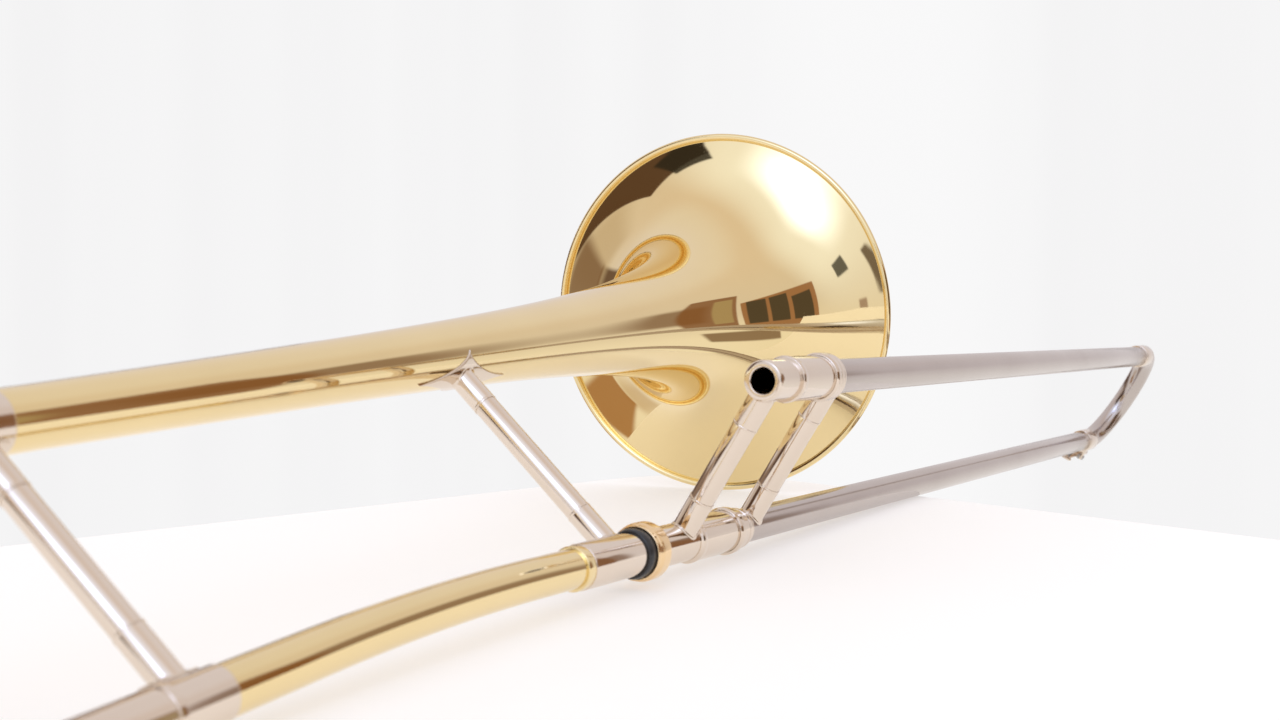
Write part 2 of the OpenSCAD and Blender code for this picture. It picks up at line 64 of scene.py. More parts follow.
def axes_frame(origin, x_axis, y_hint):
    """A frame at origin whose Y is y_hint made square to x_axis."""
    x = Vector(x_axis).normalized()
    z = x.cross(Vector(y_hint)).normalized()
    y = z.cross(x)
    rotation = Matrix((x, y, z)).transposed().to_4x4()
    return Matrix.Translation(Vector(origin)) @ rotation


def shifted(base, x=0.0, y=0.0, z=0.0):
    return base @ Matrix.Translation(Vector((x, y, z)) * MM)


def turned(base, degrees, axis):
    return base @ Matrix.Rotation(math.radians(degrees), 4, axis)


bell_mouth = Vector(MOUNTS["bell_mouth"]["pos_m"])
receiver = Vector(MOUNTS["mouthpiece_receiver"]["pos_m"])
to_bell = Vector((0, bell_mouth.y, bell_mouth.z))
to_upper = Vector((0, receiver.y, receiver.z))

SLIDE_WIDTH = to_upper.length / MM
SLIDE = axes_frame((0, 0, 0), (1, 0, 0), to_upper)
UPPER = shifted(SLIDE, y=SLIDE_WIDTH)
PLANE = axes_frame((0, 0, 0), (1, 0, 0), to_bell)
BELL = axes_frame(bell_mouth, MOUNTS["bell_mouth"]["axis"], to_bell)


def local_points(node, base):
    """A CAD node's vertices in a frame, in millimetres."""
    mesh = frame["nodes"][node].data
    flat = np.zeros(len(mesh.vertices) * 3)
    mesh.vertices.foreach_get("co", flat)
    inverse = np.array(base.inverted())
    points = flat.reshape(-1, 3) @ inverse[:3, :3].T + inverse[:3, 3]
    return points / MM


def measure(node, base=SLIDE, near=25):
    """(start, end, bore, radius) of the part of a CAD node that lies round a frame's X axis."""
    points = local_points(node, base)
    radii = np.hypot(points[:, 1], points[:, 2])
    close = radii < near
    stations = points[close, 0]
    return stations.min(), stations.max(), radii[close].min(), radii[close].max()


# Shapes. A shape is (points in millimetres, faces).

def joined(*shapes):
    points, faces = [], []
    count = 0
    for shape_points, shape_faces in shapes:
        points.append(shape_points)
        faces += [[i + count for i in face] for face in shape_faces]
        count += len(shape_points)
    return np.concatenate(points), faces


def placed(shape, matrix):
    """A shape moved by a matrix whose translation is in metres."""
    m = np.array(matrix)
    return shape[0] @ m[:3, :3].T + m[:3, 3] / MM, shape[1]


def ring_faces(rings, segments, closed=True):
    faces = []
    last = rings if closed else rings - 1
    for i in range(last):
        a, b = i * segments, ((i + 1) % rings) * segments
        for j in range(segments):
            k = (j + 1) % segments
            faces.append([a + j, b + j, b + k, a + k])
    return faces


def revolve(outline, segments=72):
    """A closed outline of (station, radius) points turned round X."""
    outline = np.array(outline, float)
    turn = np.arange(segments) * 2 * math.pi / segments
    x = np.repeat(outline[:, 0], segments)
    y = np.outer(outline[:, 1], np.cos(turn)).ravel()
    z = np.outer(outline[:, 1], np.sin(turn)).ravel()
    return np.stack([x, y, z], 1), ring_faces(len(outline), segments)


def rounded(corners, steps=5):
    """A closed outline of (station, radius, fillet) corners, with an arc at each fillet."""
    corners = np.array(corners, float)
    count = len(corners)
    points = []
    for i in range(count):
        corner, fillet = corners[i, :2], corners[i, 2]
        before, after = corners[i - 1, :2] - corner, corners[(i + 1) % count, :2] - corner
        length_before, length_after = np.hypot(*before), np.hypot(*after)
        before, after = before / length_before, after / length_after
        half = math.acos(np.clip(before @ after, -1, 1)) / 2
        if fillet <= 0 or half > math.radians(88):
            points.append(corner)
            continue
        cut = min(fillet / math.tan(half), 0.49 * length_before, 0.49 * length_after)
        fillet = cut * math.tan(half)
        centre = corner + (before + after) / np.hypot(*(before + after)) * fillet / math.sin(half)
        start, end = corner + before * cut - centre, corner + after * cut - centre
        for t in np.linspace(0, 1, steps):
            blend = start * (1 - t) + end * t
            points.append(centre + blend / np.hypot(*blend) * fillet)
    return points


def solid_of(corners, segments=48):
    """A turned solid: its outline starts and ends on the axis, where its points merge."""
    return revolve(rounded(corners), segments)


def tube(start, end, radius, bore, edge=0.15):
    return rounded([(start, bore, 0), (start, radius, edge), (end, radius, edge), (end, bore, 0)])


def grooved(start, end, radius, bore, edge, grooves, width=0.35, depth=0.3):
    """The outline of a collar with fine turned grooves at the given stations."""
    corners = [(start, bore, 0), (start, radius, edge)]
    for x in grooves:
        corners += [(x - width / 2, radius, 0.1), (x - width / 4, radius - depth, 0.05)]
        corners += [(x + width / 4, radius - depth, 0.05), (x + width / 2, radius, 0.1)]
    return rounded(corners + [(end, radius, edge), (end, bore, 0)], steps=4)


def sweep(path, outer, inner, segments=64):
    """A hollow tube along a flat path of (x, y) points, with an outer and inner radius at each."""
    path = np.array(path, float)
    tangent = np.gradient(path, axis=0)
    tangent /= np.hypot(tangent[:, 0], tangent[:, 1])[:, None]
    side = np.stack([-tangent[:, 1], tangent[:, 0]], 1)
    turn = np.arange(segments) * 2 * math.pi / segments
    outer = np.broadcast_to(outer, len(path))
    inner = np.broadcast_to(inner, len(path))
    order = list(range(len(path)))
    walls = [(i, outer[i]) for i in order] + [(i, inner[i]) for i in reversed(order)]
    points = []
    for i, radius in walls:
        flat = path[i] + np.outer(np.cos(turn) * radius, side[i])
        points.append(np.column_stack([flat, np.sin(turn) * radius]))
    return np.concatenate(points), ring_faces(len(walls), segments)


def foot(height, outline, socket, bore, reach, fillet, thick, angles):
    """A brace's foot: a plate laid on a surface, and the socket that a fillet blends into it.

    The brace runs along +Y. height(x, z) is the surface's height and outline(angle) the plate's
    reach from the brace's axis.
    """
    edge = thick * 0.8
    lip = 0.9
    lip_r = socket + 0.12
    cos, sin = np.cos(angles), np.sin(angles)
    far = np.array([outline(a) for a in angles])
    bend = np.clip(far - socket - edge, 0.25, fillet)
    rings = []

    def ring(rho, y):
        rho = np.broadcast_to(rho, len(angles))
        y = np.broadcast_to(y, len(angles))
        rings.append(np.column_stack([rho * cos, y, rho * sin]))

    def plate(rho):
        return height(rho * cos, rho * sin) + thick

    ring(bore, reach)
    for t in np.radians(np.linspace(90, -90, 9)):
        ring(lip_r - 0.12 + 0.12 * math.cos(t), reach - lip / 2 + lip / 2 * math.sin(t))
    ring(socket - 0.06, reach - lip - 0.15)
    ring(socket, reach - lip - 0.4)
    for t in np.radians(np.linspace(90, 0, 9)):
        rho = socket + bend * (1 - math.sin(t))
        ring(rho, plate(rho) + bend * (1 - math.cos(t)))
    for t in np.linspace(0, 1, 7)[1:]:
        rho = socket + bend + (far - edge - socket - bend) * t
        ring(rho, plate(rho))
    for t in np.radians(np.linspace(15, 90, 5)):
        rho = far - edge + edge * math.sin(t)
        ring(rho, plate(rho) - edge * (1 - math.cos(t)))
    ring(far, height(far * cos, far * sin) + 0.02)
    for t in np.linspace(1, 0, 6):
        rho = bore + (far - bore) * t
        ring(rho, height(rho * cos, rho * sin) + 0.02)
    return np.concatenate(rings), ring_faces(len(rings), len(angles))


def plate(outline, low, high, edge):
    """A flat plate of an (x, y) outline between two heights, with rounded edges."""
    outline = np.array(outline, float)
    before, after = np.roll(outline, 1, 0), np.roll(outline, -1, 0)
    along = after - before
    along /= np.hypot(along[:, 0], along[:, 1])[:, None]
    inward = np.column_stack([-along[:, 1], along[:, 0]])
    rings = []
    levels = [(low, 1.0), (low + 0.3 * edge, 0.3), (low + edge, 0.0),
              (high - edge, 0.0), (high - 0.3 * edge, 0.3), (high, 1.0)]
    for z, inset in levels:
        flat = outline + inward * inset * edge
        rings.append(np.column_stack([flat, np.full(len(flat), z)]))
    count = len(outline)
    faces = ring_faces(len(rings), count, closed=False)
    faces += [list(range(count))[::-1], [i + count * (len(rings) - 1) for i in range(count)]]
    return np.concatenate(rings), faces


def arc(x, y, radius, start, end, steps):
    angles = np.radians(np.linspace(start, end, steps))
    return [(x + radius * math.cos(a), y + radius * math.sin(a)) for a in angles]


def lying(shape, matrix_axis, degrees):
    return placed(shape, Matrix.Rotation(math.radians(degrees), 4, matrix_axis))


def at(shape, x=0.0, y=0.0, z=0.0):
    return shape[0] + np.array((x, y, z)), shape[1]


def wire(path, radius, segments=10):
    """A round wire along a list of points, with flat ends."""
    path = np.array(path, float)
    tangent = np.gradient(path, axis=0)
    tangent /= np.linalg.norm(tangent, axis=1)[:, None]
    side = np.cross(tangent[0], (0.3, 0.5, 0.8))
    turn = np.arange(segments) * 2 * math.pi / segments
    rings = []
    for point, along in zip(path, tangent):
        side = side - along * (side @ along)
        side /= np.linalg.norm(side)
        other = np.cross(along, side)
        rings.append(point + radius * (np.outer(np.cos(turn), side) + np.outer(np.sin(turn), other)))
    faces = ring_faces(len(rings), segments, closed=False)
    faces += [list(range(segments))[::-1], [i + segments * (len(rings) - 1) for i in range(segments)]]
    return np.concatenate(rings), faces


# Pieces

def smooth(mesh):
    """Smooth shading with sharp edges where two faces meet at an angle."""
    work = bmesh.new()
    work.from_mesh(mesh)
    bmesh.ops.remove_doubles(work, verts=work.verts, dist=1e-7)
    bmesh.ops.dissolve_degenerate(work, edges=work.edges, dist=1e-8)
    loose = [edge for edge in work.edges if not edge.link_faces]
    bmesh.ops.delete(work, geom=loose, context="EDGES")
    bmesh.ops.recalc_face_normals(work, faces=work.faces)
    for face in work.faces:
        face.smooth = True
    for edge in work.edges:
        edge.smooth = len(edge.link_faces) == 2 and edge.calc_face_angle(0) < SHARP_EDGE
    work.to_mesh(mesh)
    work.free()


def piece(name, shape, base, *nodes):
    """A piece that stands for CAD nodes and takes its body and finish from the first of them.

    Its place is in its mesh, as a CAD node's is. Its points in its own frame are kept in the
    attribute "place", which its material's grain follows.
    """
    mesh = bpy.data.meshes.new(name)
    mesh.from_pydata((shape[0] * MM).tolist(), [], shape[1])
    smooth(mesh)
    place = np.zeros(len(mesh.vertices) * 3, np.float32)
    mesh.vertices.foreach_get("co", place)
    mesh.attributes.new("place", "FLOAT_VECTOR", "POINT").data.foreach_set("vector", place)
    mesh.transform(base)
    made = bpy.data.objects.new(name, mesh)
    bpy.context.scene.collection.objects.link(made)
    slot = SLOT_OF[nodes[0]]
    mesh.materials.append(finish(LOOKS.get(nodes[0], slot), "place"))
    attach(made, BODY_OF[nodes[0]])
    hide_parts(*nodes)
    return made


# Materials

def add(tree, kind, inputs=None, **settings):
    """A node whose inputs are set, or linked where the value is a socket."""
    made = tree.nodes.new(kind)
    for key, value in settings.items():
        setattr(made, key, value)
    for key, value in (inputs or {}).items():
        if isinstance(value, bpy.types.NodeSocket):
            tree.links.new(value, made.inputs[key])
        else:
            made.inputs[key].default_value = value
    return made


def math_node(tree, operation, a, b=0.0):
    return add(tree, "ShaderNodeMath", {0: a, 1: b}, operation=operation).outputs[0]


def noise(tree, coordinates, scale, detail=3.0, rough=0.5):
    inputs = {"Vector": coordinates, "Scale": scale, "Detail": detail, "Roughness": rough}
    return add(tree, "ShaderNodeTexNoise", inputs).outputs[0]


def ranged(tree, value, low, high, from_low=0.3, from_high=0.7):
    inputs = {"Value": value, 1: from_low, 2: from_high, 3: low, 4: high}
    return add(tree, "ShaderNodeMapRange", inputs).outputs[0]


def mixed(tree, factor, a, b, blend="MIX"):
    made = add(tree, "ShaderNodeMix", {0: factor, 6: a, 7: b}, data_type="RGBA", blend_type=blend)
    return made.outputs[2]


def colour(red, green, blue):
    return (red, green, blue, 1.0)


def new_material(name, space):
    """A material whose grain follows a mesh attribute, or the mesh's own points for "object"."""
    material = bpy.data.materials.new(name)
    material.use_nodes = True
    tree = material.node_tree
    tree.nodes.clear()
    output = tree.nodes.new("ShaderNodeOutputMaterial")
    shader = tree.nodes.new("ShaderNodeBsdfPrincipled")
    tree.links.new(shader.outputs[0], output.inputs[0])
    if space == "object":
        place = tree.nodes.new("ShaderNodeTexCoord").outputs["Object"]
    else:
        place = add(tree, "ShaderNodeAttribute", attribute_name=space).outputs["Vector"]
    return material, tree, shader, place


def stretched(tree, place, x, y, z):
    return add(tree, "ShaderNodeMapping", {0: place, 3: (x, y, z)}).outputs[0]


def set_bump(tree, shader, height, distance, strength=1.0):
    inputs = {"Strength": strength, "Distance": distance, "Height": height}
    tree.links.new(add(tree, "ShaderNodeBump", inputs).outputs[0], shader.inputs["Normal"])


def polished(name, space, light, dark, smoothness, smudge, coat, grain):
    """Polished metal: drawn lines along X, fine scratches, and smudges in its gloss."""
    material, tree, shader, place = new_material(name, space)
    clouds = noise(tree, place, 16, 4)
    lines = noise(tree, stretched(tree, place, 5, 500, 500), 1.0, 4)
    scratches = noise(tree, stretched(tree, place, 400, 90, 90), 3.0, 5)
    tint = mixed(tree, ranged(tree, clouds, 0, 1), colour(*light), colour(*dark))
    gloss = ranged(tree, clouds, smoothness, smudge)
    gloss = math_node(tree, "ADD", gloss, ranged(tree, lines, -0.01, 0.01))
    gloss = math_node(tree, "ADD", gloss, ranged(tree, scratches, 0.0, 0.02, 0.6, 0.75))
    tree.links.new(tint, shader.inputs["Base Color"])
    tree.links.new(gloss, shader.inputs["Roughness"])
    shader.inputs["Metallic"].default_value = 1.0
    shader.inputs["Coat Weight"].default_value = coat
    shader.inputs["Coat Roughness"].default_value = 0.03
    set_bump(tree, shader, math_node(tree, "ADD", lines, scratches), grain)
    return material


def black_rubber(name, space):
    material, tree, shader, place = new_material(name, space)
    grain = noise(tree, place, 900, 3)
    clouds = noise(tree, place, 40, 3)
    tint = mixed(tree, ranged(tree, clouds, 0, 1), colour(0.012, 0.012, 0.013), colour(0.03, 0.03, 0.032))
    tree.links.new(tint, shader.inputs["Base Color"])
    tree.links.new(ranged(tree, clouds, 0.22, 0.36), shader.inputs["Roughness"])
    set_bump(tree, shader, grain, 0.00002)
    return material


def tarnish(name, space):
    """Dull brown metal, as inside a mouthpiece receiver."""
    material, tree, shader, place = new_material(name, space)
    clouds = noise(tree, place, 160, 4)
    tint = mixed(tree, ranged(tree, clouds, 0, 1), colour(0.85, 0.55, 0.34), colour(0.66, 0.40, 0.22))
    tree.links.new(tint, shader.inputs["Base Color"])
    shader.inputs["Metallic"].default_value = 0.3
    shader.inputs["Roughness"].default_value = 0.5
    set_bump(tree, shader, clouds, 0.00002)
    return material


def cork(name, space):
    material, tree, shader, place = new_material(name, space)
    cells = add(tree, "ShaderNodeTexVoronoi", {"Vector": place, "Scale": 900.0}).outputs["Distance"]
    clouds = noise(tree, place, 350, 5, 0.7)
    tint = mixed(tree, clouds, colour(0.34, 0.19, 0.09), colour(0.66, 0.44, 0.25))
    tint = mixed(tree, ranged(tree, cells, 1, 0, 0.05, 0.3), tint, colour(0.16, 0.08, 0.04))
    tree.links.new(tint, shader.inputs["Base Color"])
    shader.inputs["Roughness"].default_value = 0.85
    set_bump(tree, shader, cells, 0.00015)
    return material


# Each metal: light and dark tint, least and greatest roughness, lacquer, depth of its grain
METALS = {
    "lacquered_brass": ((0.88, 0.71, 0.38), (0.85, 0.68, 0.36), 0.02, 0.05, 0.4, 0.0000008),
    "handled_brass": ((0.92, 0.69, 0.40), (0.85, 0.60, 0.33), 0.1, 0.2, 0.3, 0.000002),
    "raw_brass": ((0.74, 0.53, 0.25), (0.6, 0.42, 0.2), 0.2, 0.38, 0.0, 0.000004),
    "nickel_silver": ((0.80, 0.70, 0.59), (0.76, 0.65, 0.54), 0.05, 0.1, 0.0, 0.0000015),
    "satin_nickel": ((0.58, 0.52, 0.485), (0.54, 0.48, 0.445), 0.12, 0.2, 0.0, 0.000003),
    "spring_steel": ((0.58, 0.57, 0.56), (0.48, 0.47, 0.46), 0.2, 0.3, 0.0, 0.000004),
}
# Pieces that look unlike the rest of their slot
LOOKS = {"lock_nut": "handled_brass"}
finishes = {}


def finish(slot, space):
    """The material of one of the record's slots, made once for each kind of coordinates."""
    name = slot + "_" + space
    if name not in finishes:
        if slot in METALS:
            finishes[name] = polished(name, space, *METALS[slot])
        else:
            makers = {"black_rubber": black_rubber, "cork": cork, "tarnish": tarnish}
            finishes[name] = makers[slot](name, space)
    return finishes[name]


# Bell

FLARE_R = 107.0
FLARE_DEPTH = 23.4
FLARE_POWER = 0.75
BELL_WALL = 0.6
STEM_LEN = 532.0
BEAD = {"x": -1.3, "ring": 106.4, "r": 1.8}


def flare(back):
    """The bell's outside radius at a distance back from the rim."""
    back = np.minimum(back, STEM_LEN)
    return FLARE_R * (FLARE_DEPTH / (back + FLARE_DEPTH)) ** FLARE_POWER


def bell_outline():
    tail = -measure("bell", BELL, near=200)[0]
    step = np.linspace(0, 1, 80)
    start = 0.67
    back = (start + FLARE_DEPTH) * ((tail + FLARE_DEPTH) / (start + FLARE_DEPTH)) ** step - FLARE_DEPTH
    slope = np.where(back < STEM_LEN, FLARE_POWER * flare(back) / (back + FLARE_DEPTH), 0)
    lean = np.arctan(slope)
    outside = np.column_stack([-back, flare(back)])
    inside = outside + BELL_WALL * np.column_stack([np.sin(lean), -np.cos(lean)])
    turn = np.radians(np.linspace(-72, -352, 30))
    bead = np.column_stack([
        BEAD["x"] + BEAD["r"] * np.cos(turn), BEAD["ring"] + BEAD["r"] * np.sin(turn)])
    return np.concatenate([outside[::-1], bead, inside[2:]])


piece("bell_flare", revolve(bell_outline(), 384), BELL, "bell", "bell_rim_wire")


# Neck, sleeves and joint

NECK_Y = -float(np.mean(local_points("neck_sleeve", BELL)[:, 1].min()
                        + local_points("neck_sleeve", BELL)[:, 1].max()) / -2)
NECK = shifted(BELL, y=NECK_Y)
BEND_HALF = 65.0


def sleeve(node, base, pipe):
    start, end, bore, radius = measure(node, base)
    wall = radius - 0.9
    bead = measure("rear_brace_feet", base)[0] - 1
    corners = [
        (start, bore, 0), (start, radius, 0.6), (start + 4, radius, 0.6), (start + 4.2, wall, 0.1),
        (bead - 3, wall, 0.1), (bead - 3, wall + 0.75, 0.7), (bead, wall + 0.75, 0.7), (bead, wall, 0.1),
        (end - 0.6, wall, 0.5), (end, pipe + 0.1, 0.2), (end, pipe - 0.2, 0)]
    piece(node + "_tube", revolve(rounded(corners)), base, node)


def neck_path():
    """The neckpipe's centre line in the bell's plane, from the socket to the rear sleeve."""
    to_plane = PLANE.inverted() @ NECK
    tilt = math.atan2(to_plane[1][0], to_plane[0][0])
    rear = Vector((to_plane[0][3], to_plane[1][3])) / MM
    meet_x = rear.x - rear.y / math.tan(tilt)
    radius = BEND_HALF / math.tan(tilt / 2)
    start, end = measure("neckpipe", SLIDE)[1], measure("neckpipe", NECK)[0]
    front = [(x, 0) for x in np.linspace(start, meet_x + BEND_HALF, 4)[:-1]]
    bend = [(meet_x + BEND_HALF - radius * math.sin(a), radius * math.cos(a) - radius)
            for a in np.linspace(0, tilt, 24)]
    finish = to_plane @ (Vector((end, 0, 0)) * MM) / MM
    x0, y0 = bend[-1]
    back = [(x0 + (finish.x - x0) * t, y0 + (finish.y - y0) * t) for t in np.linspace(0, 1, 12)[1:]]
    return front + bend + back


def joint():
    neck_r = measure("neck_ferrule", SLIDE)[2] - 0.02
    piece("neck_pipe", sweep(neck_path(), neck_r, neck_r - 0.5), PLANE, "neckpipe")
    start, end, bore, radius = measure("neck_ferrule")
    collar = [(start, bore, 0), (start, radius - 0.1, 0.8), (end, radius - 0.2, 0.9), (end, bore, 0)]
    piece("neck_collar", revolve(rounded(collar)), SLIDE, "neck_ferrule")
    start, end, bore, radius = measure("slide_socket")
    flat = measure("cushion_ring")[2] - 0.02
    socket = [(start, flat - 1.2, 0), (start, flat, 0.35), (end, flat, 0.2), (end, flat - 1.2, 0)]
    piece("socket_shell", revolve(rounded(socket)), SLIDE, "slide_socket")
    start, end, bore, radius = measure("cushion_ring")
    cushion = [(start, bore, 0.1), (start, radius - 0.5, 0.9), (start + 2, radius, 1),
               (end, radius, 0.6), (end, bore, 0.1)]
    piece("cushion", revolve(rounded(cushion)), SLIDE, "cushion_ring")
    start, end, bore, radius = measure("lock_nut")
    nut = [
        (start + 1.5, 9.7, 0), (start + 1.5, 10.6, 0.1), (start, 10.6, 0.25), (start, radius - 0.75, 0.6),
        (start + 1.9, radius - 0.7, 0.4), (start + 2.3, radius - 0.3, 0.5), (start + 3.6, radius, 1.8),
        (end - 3.6, radius, 3.2), (end - 0.5, radius - 2.0, 1.4),
        (end, radius - 2.6, 0.4), (end, bore + 0.1, 0.2), (end - 2, bore + 0.1, 0), (end - 2, 9.7, 0)]
    piece("nut_crown", revolve(rounded(nut, 7), 96), SLIDE, "lock_nut")


sleeve("tail_sleeve", BELL, float(flare(STEM_LEN)))
sleeve("neck_sleeve", NECK, measure("neck_ferrule")[2])
joint()


# Inner slide's barrels and receiver

def tarnish_bore(made, base, reach):
    """Gives the faces of a piece that lie within reach of a frame's axis a dull brown bore."""
    mesh = made.data
    mesh.materials.append(finish("tarnish", "place"))
    to_base = base.inverted()
    for polygon in mesh.polygons:
        spot = to_base @ polygon.center / MM
        if math.hypot(spot.y, spot.z) < reach:
            polygon.material_index = 1


def barrels():
    start, end, bore, radius = measure("mouthpiece_receiver", UPPER)
    step = measure("upper_barrel", UPPER)[0]
    lip = [(start + 0.35, bore, 0.1), (start, bore + 0.35, 0.25), (start, radius - 0.1, 0.9),
           (start + 3, radius + 0.1, 1.0), (step + 0.4, radius, 0),
           (step + 0.4, radius - 1.2, 0), (end, radius - 1.3, 0), (end, 5.5, 0), (start + 4, 6.1, 0)]
    made = piece("receiver_tube", revolve(rounded(lip), 96), UPPER, "mouthpiece_receiver")
    tarnish_bore(made, UPPER, bore + 0.05)
    neck = measure("mouthpiece_receiver", UPPER)[3]
    for node, base, rear in (("upper_barrel", UPPER, step + 0.3), ("lower_barrel", SLIDE, None)):
        start, end, bore, radius = measure(node, base)
        barrel = radius - 0.25
        if rear is None:
            points = local_points(node, base)
            step = points[np.hypot(points[:, 1], points[:, 2]) > neck + 0.1, 0].min()
        first = [(rear, neck - 1.2, 0), (rear, neck + 0.1, 0)] if rear else [
            (start, neck - 1.3, 0), (start, neck, 0.2), (step, neck, 0.25)]
        shell = first + [
            (step + 0.3, radius - 0.3, 0.3), (step + 1.1, radius + 0.1, 0.6), (step + 2.6, radius + 0.05, 0.8),
            (step + 4.2, barrel, 0.9), (end, barrel, 0.1), (end, barrel - 1.2, 0),
            (step + 6, barrel - 1.2, 0), (step + 6, neck - 1.3, 0)]
        piece(node + "_shell", revolve(rounded(shell), 96), base, node)


def upper_ring():
    start, end, bore, radius = measure("upper_end_ring", UPPER)
    seat, barrel = measure("upper_barrel", UPPER)[1] + 0.5, measure("upper_barrel", UPPER)[3] - 0.25
    ring = [(start, barrel + 0.03, 0), (start, radius - 0.7, 0.5), (start + 1, radius, 0.8)]
    for x in (start + 3.6, start + 7.2):
        ring += [(x - 0.3, radius, 0.2), (x - 0.1, radius - 0.3, 0.08),
                 (x + 0.1, radius - 0.3, 0.08), (x + 0.3, radius, 0.2)]
    ring += [(end - 1, radius - 0.1, 0.9), (end, radius - 1, 0.6), (end, bore, 0.3),
             (seat, bore, 0), (seat, barrel + 0.03, 0)]
    piece("upper_ring_turned", revolve(rounded(ring), 96), UPPER, "upper_end_ring")


def lock_ring():
    """The slide lock: a wide rounded band, and a narrow front with the groove of its catch."""
    start, end, bore, radius = measure("slide_lock_ring")
    seat, barrel = measure("lower_barrel")[1] + 0.5, measure("upper_barrel", UPPER)[3] - 0.25
    wide_end = start + 5.6
    front = radius - 1.3
    slit = end - 3.2
    ring = [(start, barrel + 0.06, 0), (start, radius - 0.7, 0.5), (start + 1, radius, 0.8),
            (wide_end - 0.6, radius - 0.1, 0.9), (wide_end, front + 0.3, 0.4), (wide_end + 0.2, front, 0.2),
            (slit - 0.45, front, 0.1), (slit - 0.3, front - 0.45, 0.05), (slit + 0.3, front - 0.45, 0.05),
            (slit + 0.45, front, 0.1), (end, front - 0.1, 0.5), (end, bore, 0.2),
            (seat, bore, 0), (seat, barrel + 0.06, 0)]
    piece("lock_ring_turned", revolve(rounded(ring), 96), SLIDE, "slide_lock_ring")


barrels()
upper_ring()
lock_ring()


# Outer slide

def outer_slide():
    for node, base in (("upper_outer_tube", UPPER), ("lower_outer_tube", SLIDE)):
        start, end, bore, radius = measure(node, base)
        piece(node + "_skin", revolve(tube(start, end, radius, bore), 96), base, node)
    start, end, bore, radius = measure("outer_collars")
    collar = revolve(rounded([(start, bore, 0), (start, radius, 0.6), (end, radius, 0.6), (end, bore, 0)]), 72)
    pair = joined(collar, placed(collar, Matrix.Translation((0, SLIDE_WIDTH * MM, 0))))
    piece("collar_pair", pair, SLIDE, "outer_collars")
    start, end, bore, radius = measure("bow_ferrules")
    ferrule = revolve(grooved(start, end, radius, bore, 0.7, (start + 2, end - 2.2)), 72)
    pair = joined(ferrule, placed(ferrule, Matrix.Translation((0, SLIDE_WIDTH * MM, 0))))
    piece("ferrule_pair", pair, SLIDE, "bow_ferrules")
    bow_x = frame_x("end_bow")[0]
    half = SLIDE_WIDTH / 2
    angles = np.linspace(-math.pi / 2, math.pi / 2, 73)
    path = [(bow_x + half * math.cos(a), half + half * math.sin(a)) for a in angles]
    radius = measure("lower_outer_tube")[3]
    piece("bow_tube", sweep(path, radius, radius - 0.5), SLIDE, "end_bow")


def frame_x(node):
    low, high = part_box(node)
    return low.x / MM, high.x / MM


outer_slide()


# Braces

def on_tube(radius):
    def height(x, z):
        return np.sqrt(np.maximum(radius ** 2 - z ** 2, 0.01))
    return height


def saddle(arm, half_wide, collar):
    """The reach of a saddle's plate: two round-ended arms along X and a round middle."""
    middle = arm - half_wide

    def outline(angle):
        along, across = abs(math.cos(angle)), abs(math.sin(angle))
        side = half_wide / across if across > 1e-6 else 1e9
        if side * along > middle:
            side = middle * along + math.sqrt(half_wide ** 2 - (middle * across) ** 2)
        return max(side, collar)
    return outline


EVEN = np.arange(72) * 2 * math.pi / 72


def saddle_foot(tube_r, brace_r, reach, arm):
    outline = saddle(arm, 4.2, brace_r + 0.85)
    return foot(on_tube(tube_r + 0.02), outline, brace_r + 0.2, brace_r + 0.02, reach, 0.9, 0.6, EVEN)


def brace_between(name, node, base, x, start, end, radius):
    shape = revolve(tube(start, end, radius, radius - 0.8, 0.2), 48)
    return piece(name, shape, turned(shifted(base, x), 90, "Z"), node)


def slide_braces():
    reach = 23.0
    flip = Matrix.Translation((0, SLIDE_WIDTH * MM, 0)) @ Matrix.Rotation(math.pi, 4, "X")
    inner_r = measure("mouthpiece_receiver", UPPER)[3]
    outer_r = measure("lower_outer_tube")[3]
    for side, tube_r in (("inner", inner_r), ("outer", outer_r)):
        low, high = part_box(side + "_brace")
        x = (low.x + high.x) / 2 / MM
        brace_r = (high.x - low.x) / 2 / MM
        depth = 9.5
        brace_between(side + "_brace_tube", side + "_brace", SLIDE, x,
                      reach - depth, SLIDE_WIDTH - reach + depth, brace_r)
        one = saddle_foot(tube_r, brace_r, reach, brace_r + 0.9)
        pair = joined(one, placed(one, flip))
        piece(side + "_brace_saddles", pair, shifted(SLIDE, x), side + "_brace_feet")


def rear_brace():
    brace_r = 4.7
    reach = 27.0
    width = -NECK_Y
    x0, x1, bore, radius = measure("rear_brace_feet", NECK)
    x = (x0 + x1) / 2
    neck_r = measure("neck_sleeve", NECK)[3] - 0.9
    tail_r = measure("tail_sleeve", BELL)[3] - 0.9
    brace_between("rear_brace_tube", "rear_brace", NECK, x, reach - 9.5, width - reach + 9.5, brace_r)
    flip = Matrix.Translation((0, width * MM, 0)) @ Matrix.Rotation(math.pi, 4, "X")
    one, other = (saddle_foot(r, brace_r, reach, 9.5) for r in (neck_r, tail_r))
    piece("rear_brace_saddles", joined(one, placed(other, flip)), shifted(NECK, x), "rear_brace_feet")


